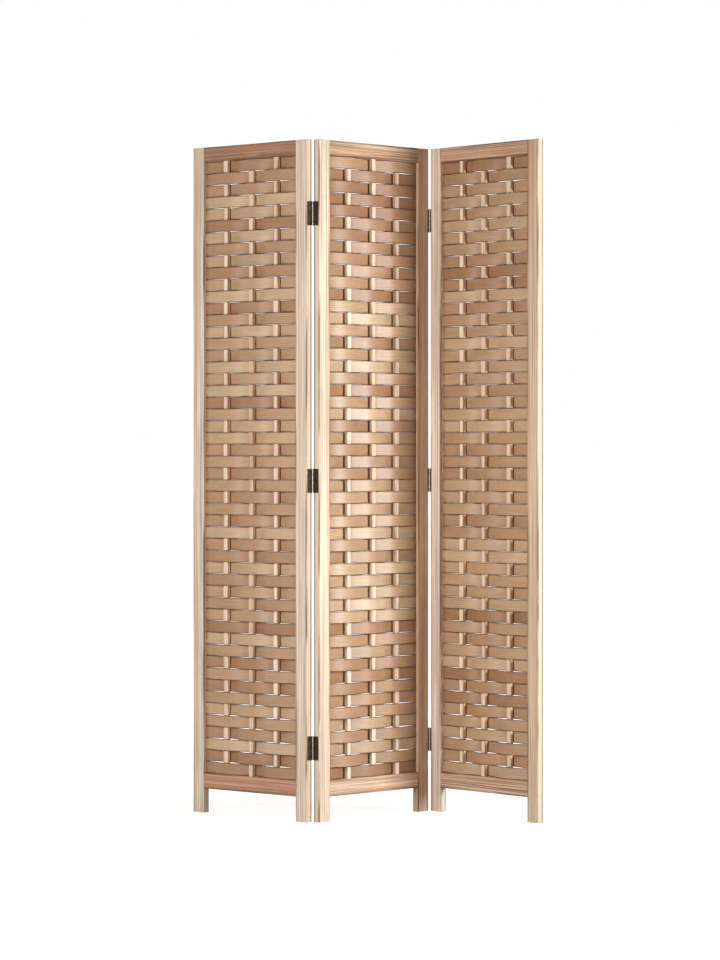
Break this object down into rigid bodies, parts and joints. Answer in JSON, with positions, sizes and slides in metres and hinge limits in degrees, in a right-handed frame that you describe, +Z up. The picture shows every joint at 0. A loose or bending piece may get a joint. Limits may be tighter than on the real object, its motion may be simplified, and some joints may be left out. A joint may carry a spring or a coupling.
{
  "type": "folding screen",
  "caption": "Folding screen of framed panels woven from wide thin wood strips over upright slats, joined by butt hinges, standing in a zigzag.",
  "frame": {"origin": "on the floor, under the middle of the box round the standing screen", "axes": "+Z up, +X along the screen to the right as seen from its front, +Y away from the viewer in front"},
  "size_m": [0.8816, 0.316, 1.7],
  "materials": {
    "stiles": "brushed and lightly scorched pale wood",
    "rails": "brushed and lightly scorched pale wood",
    "slats": "planed pale wood",
    "strips": "thin tan wood strip, satin",
    "dowels": "turned wood",
    "hinges": "dark bronze",
    "pins": "dull steel",
    "screws": "dark bronze"
  },
  "bodies": {
    "middle_panel": {"left_hinge_centre_right_leaf": "hinges", "left_hinge_lower_right_leaf": "hinges", "left_hinge_right_screws": "screws", "left_hinge_upper_right_leaf": "hinges", "middle_panel_bottom_rail": "rails", "middle_panel_dowels": "dowels", "middle_panel_even_strips": "strips", "middle_panel_left_stile": "stiles", "middle_panel_odd_strips": "strips", "middle_panel_right_stile": "stiles", "middle_panel_slat_1": "slats", "middle_panel_slat_2": "slats", "middle_panel_slat_3": "slats", "middle_panel_top_rail": "rails", "right_hinge_centre_left_leaf": "hinges", "right_hinge_centre_pin": "pins", "right_hinge_left_screws": "screws", "right_hinge_lower_left_leaf": "hinges", "right_hinge_lower_pin": "pins", "right_hinge_upper_left_leaf": "hinges", "right_hinge_upper_pin": "pins"},
    "left_panel": {"left_hinge_centre_left_leaf": "hinges", "left_hinge_centre_pin": "pins", "left_hinge_left_screws": "screws", "left_hinge_lower_left_leaf": "hinges", "left_hinge_lower_pin": "pins", "left_hinge_upper_left_leaf": "hinges", "left_hinge_upper_pin": "pins", "left_panel_bottom_rail": "rails", "left_panel_dowels": "dowels", "left_panel_even_strips": "strips", "left_panel_left_stile": "stiles", "left_panel_odd_strips": "strips", "left_panel_right_stile": "stiles", "left_panel_slat_1": "slats", "left_panel_slat_2": "slats", "left_panel_slat_3": "slats", "left_panel_top_rail": "rails"},
    "right_panel": {"right_hinge_centre_right_leaf": "hinges", "right_hinge_lower_right_leaf": "hinges", "right_hinge_right_screws": "screws", "right_hinge_upper_right_leaf": "hinges", "right_panel_bottom_rail": "rails", "right_panel_dowels": "dowels", "right_panel_even_strips": "strips", "right_panel_left_stile": "stiles", "right_panel_odd_strips": "strips", "right_panel_right_stile": "stiles", "right_panel_slat_1": "slats", "right_panel_slat_2": "slats", "right_panel_slat_3": "slats", "right_panel_top_rail": "rails"}
  },
  "joints": [
    {"name": "left_fold", "type": "hinge", "parent": "middle_panel", "child": "left_panel", "pos_m": [-0.13152, -0.12952, 0.85], "axis": [0, 0, 1], "range_deg": [-91.2, 88.8]},
    {"name": "right_fold", "type": "hinge", "parent": "middle_panel", "child": "right_panel", "pos_m": [0.16458, 0.14516, 0.85], "axis": [0, 0, 1], "range_deg": [-84.3, 95.7]}
  ]
}
